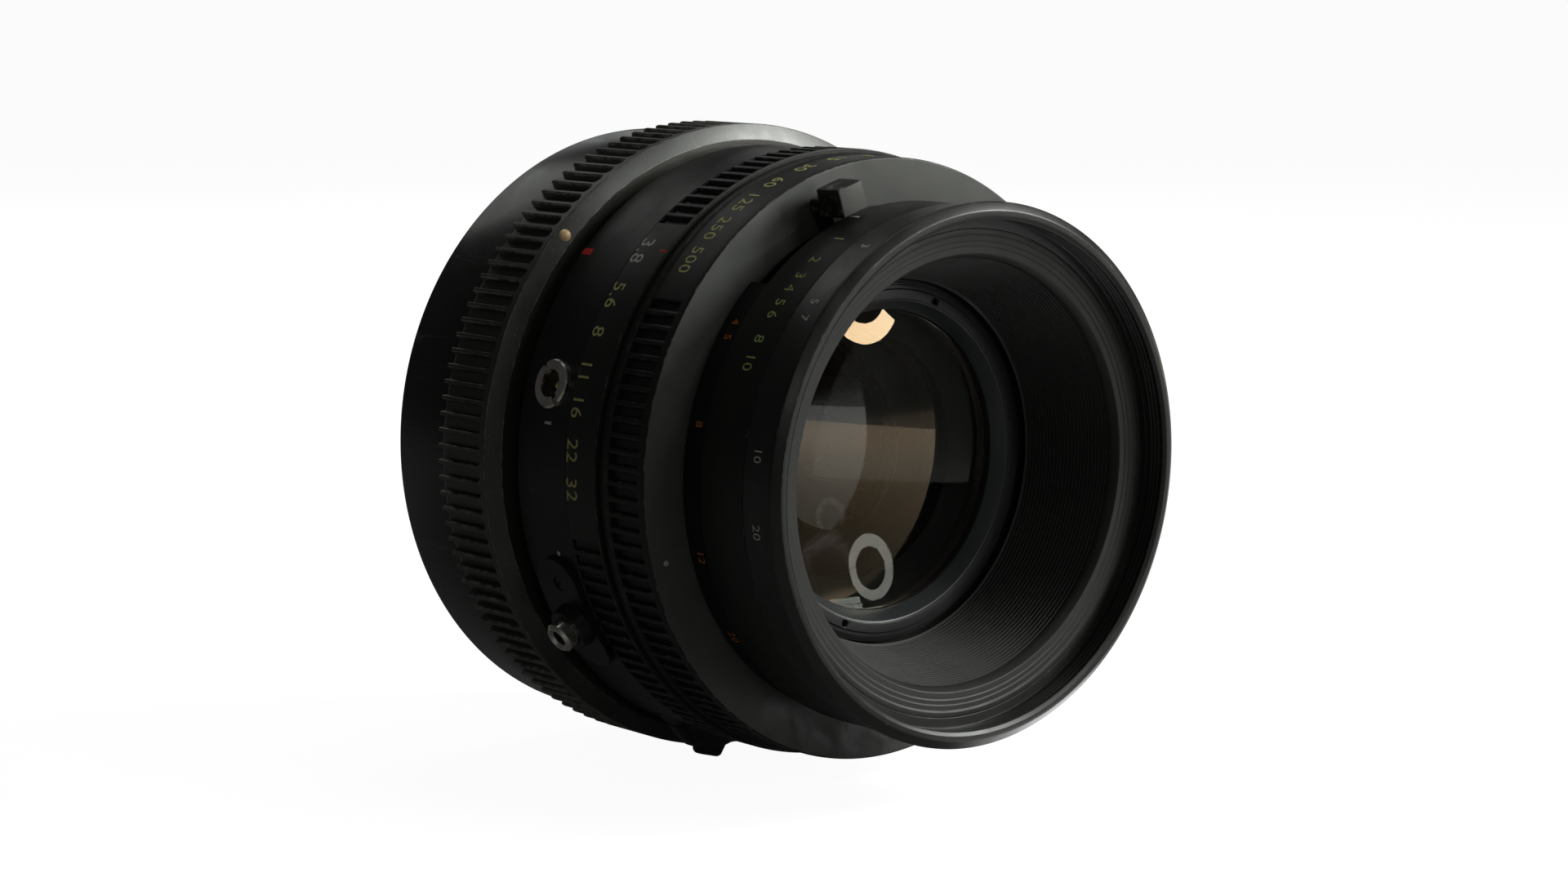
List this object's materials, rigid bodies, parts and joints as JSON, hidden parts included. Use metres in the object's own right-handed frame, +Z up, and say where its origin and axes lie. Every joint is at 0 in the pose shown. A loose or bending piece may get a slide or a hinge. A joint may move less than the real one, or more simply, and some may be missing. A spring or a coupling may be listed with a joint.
{
  "type": "medium format camera lens",
  "caption": "Black leaf shutter lens for a medium format camera, with its rear cap on: ribbed rings, side sockets, deep light baffle and coated front glass.",
  "frame": {"origin": "centre of the rear seating face of the mount flange, on the optical axis", "axes": "+X along the optical axis towards the front glass, +Z up as the lens lies on its side"},
  "size_m": [0.0838, 0.101, 0.101],
  "materials": {
    "cap_plastic": "satin black moulding",
    "grip_black": "black anodised, edges worn",
    "barrel_black": "satin black",
    "ring_black": "black anodised",
    "rim_black": "satin black, fine turning lines",
    "baffle_black": "matt black",
    "inner_black": "matt black",
    "seat_steel": "bright ground seat",
    "screw_steel": "plain",
    "socket_silver": "satin silver",
    "insulator": "matt",
    "contact_brass": "dull",
    "dot_enamel": "glossy enamel",
    "lever_black": "satin black",
    "coated_glass": "coated",
    "blade_steel": "dark matt"
  },
  "bodies": {
    "lens": {"main_barrel": "barrel_black", "mount_flange": "seat_steel", "sync_core": "insulator", "sync_sleeve": "socket_silver", "sync_pin": "contact_brass", "release_pad": "barrel_black", "release_sleeve": "socket_silver", "release_pin": "contact_brass", "pad_screw": "screw_steel", "click_ball": "screw_steel", "scale_ring": "ring_black", "filter_ring": "rim_black", "baffle_cone": "baffle_black", "front_cell": "inner_black", "front_retainer": "rim_black", "front_spacer": "inner_black", "front_glass": "coated_glass", "second_glass": "coated_glass", "third_glass": "coated_glass", "rear_glass": "coated_glass", "rear_spacer": "inner_black", "rear_cell": "inner_black", "rear_retainer": "inner_black", "shutter_case": "inner_black", "divider_plate": "inner_black", "cover_plate": "inner_black", "mount_screw_1": "screw_steel", "mount_screw_2": "screw_steel", "mount_screw_3": "screw_steel", "mount_screw_4": "screw_steel", "mount_screw_5": "screw_steel"},
    "cap": {"rear_cap": "cap_plastic", "cap_hub": "cap_plastic"},
    "breech_ring": {"bayonet_ring": "grip_black", "alignment_dot": "dot_enamel"},
    "aperture": {"aperture_ring": "ring_black"},
    "speed": {"speed_ring": "ring_black"},
    "depth": {"depth_ring": "ring_black"},
    "time": {"time_lever": "lever_black"},
    "preview": {"preview_lever": "lever_black", "preview_tab": "lever_black"},
    "cocking": {"cocking_ring": "screw_steel"},
    "iris_1": {"iris_blade_1": "blade_steel"},
    "iris_2": {"iris_blade_2": "blade_steel"},
    "iris_3": {"iris_blade_3": "blade_steel"},
    "iris_4": {"iris_blade_4": "blade_steel"},
    "iris_5": {"iris_blade_5": "blade_steel"},
    "shutter_1": {"shutter_blade_1": "blade_steel"},
    "shutter_2": {"shutter_blade_2": "blade_steel"},
    "shutter_3": {"shutter_blade_3": "blade_steel"},
    "shutter_4": {"shutter_blade_4": "blade_steel"},
    "shutter_5": {"shutter_blade_5": "blade_steel"}
  },
  "joints": [
    {"name": "cap_pull", "type": "slide", "parent": "lens", "child": "cap", "axis": [-1, 0, 0], "range_m": [0, 0.045]},
    {"name": "breech_ring_turn", "type": "hinge", "parent": "lens", "child": "breech_ring", "pos_m": [0, 0, 0], "axis": [1, 0, 0], "range_deg": [0, 50]},
    {"name": "aperture_turn", "type": "hinge", "parent": "lens", "child": "aperture", "pos_m": [0, 0, 0], "axis": [1, 0, 0], "range_deg": [-11.25, 33.75]},
    {"name": "speed_turn", "type": "hinge", "parent": "lens", "child": "speed", "pos_m": [0, 0, 0], "axis": [1, 0, 0], "range_deg": [0, 72]},
    {"name": "depth_turn", "type": "hinge", "parent": "lens", "child": "depth", "pos_m": [0, 0, 0], "axis": [1, 0, 0], "range_deg": [-90, 90]},
    {"name": "time_slide", "type": "hinge", "parent": "lens", "child": "time", "pos_m": [0, 0, 0], "axis": [1, 0, 0], "range_deg": [-10, 10]},
    {"name": "preview_turn", "type": "hinge", "parent": "lens", "child": "preview", "pos_m": [0, 0, 0], "axis": [1, 0, 0], "range_deg": [0, 20]},
    {"name": "cocking_turn", "type": "hinge", "parent": "lens", "child": "cocking", "pos_m": [0, 0, 0], "axis": [1, 0, 0], "range_deg": [0, 50]},
    {"name": "iris_1_close", "type": "hinge", "parent": "lens", "child": "iris_1", "pos_m": [0, 0.01901, 0.01381], "axis": [1, 0, 0], "range_deg": [0, 34]},
    {"name": "shutter_1_close", "type": "hinge", "parent": "lens", "child": "shutter_1", "pos_m": [0, 0.027, 0], "axis": [1, 0, 0], "range_deg": [0, 37]},
    {"name": "iris_2_close", "type": "hinge", "parent": "lens", "child": "iris_2", "pos_m": [0, -0.00726, 0.02235], "axis": [1, 0, 0], "range_deg": [0, 34]},
    {"name": "shutter_2_close", "type": "hinge", "parent": "lens", "child": "shutter_2", "pos_m": [0, 0.00834, 0.02568], "axis": [1, 0, 0], "range_deg": [0, 37]},
    {"name": "iris_3_close", "type": "hinge", "parent": "lens", "child": "iris_3", "pos_m": [0, -0.0235, 0], "axis": [1, 0, 0], "range_deg": [0, 34]},
    {"name": "shutter_3_close", "type": "hinge", "parent": "lens", "child": "shutter_3", "pos_m": [0, -0.02184, 0.01587], "axis": [1, 0, 0], "range_deg": [0, 37]},
    {"name": "iris_4_close", "type": "hinge", "parent": "lens", "child": "iris_4", "pos_m": [0, -0.00726, -0.02235], "axis": [1, 0, 0], "range_deg": [0, 34]},
    {"name": "shutter_4_close", "type": "hinge", "parent": "lens", "child": "shutter_4", "pos_m": [0, -0.02184, -0.01587], "axis": [1, 0, 0], "range_deg": [0, 37]},
    {"name": "iris_5_close", "type": "hinge", "parent": "lens", "child": "iris_5", "pos_m": [0, 0.01901, -0.01381], "axis": [1, 0, 0], "range_deg": [0, 34]},
    {"name": "shutter_5_close", "type": "hinge", "parent": "lens", "child": "shutter_5", "pos_m": [0, 0.00834, -0.02568], "axis": [1, 0, 0], "range_deg": [0, 37]}
  ],
  "couplings": [
    {"joint": "iris_1_close", "follows": "preview_turn", "ratio": 1.7},
    {"joint": "shutter_1_close", "follows": "cocking_turn", "ratio": 0.74},
    {"joint": "iris_2_close", "follows": "preview_turn", "ratio": 1.7},
    {"joint": "shutter_2_close", "follows": "cocking_turn", "ratio": 0.74},
    {"joint": "iris_3_close", "follows": "preview_turn", "ratio": 1.7},
    {"joint": "shutter_3_close", "follows": "cocking_turn", "ratio": 0.74},
    {"joint": "iris_4_close", "follows": "preview_turn", "ratio": 1.7},
    {"joint": "shutter_4_close", "follows": "cocking_turn", "ratio": 0.74},
    {"joint": "iris_5_close", "follows": "preview_turn", "ratio": 1.7},
    {"joint": "shutter_5_close", "follows": "cocking_turn", "ratio": 0.74}
  ]
}
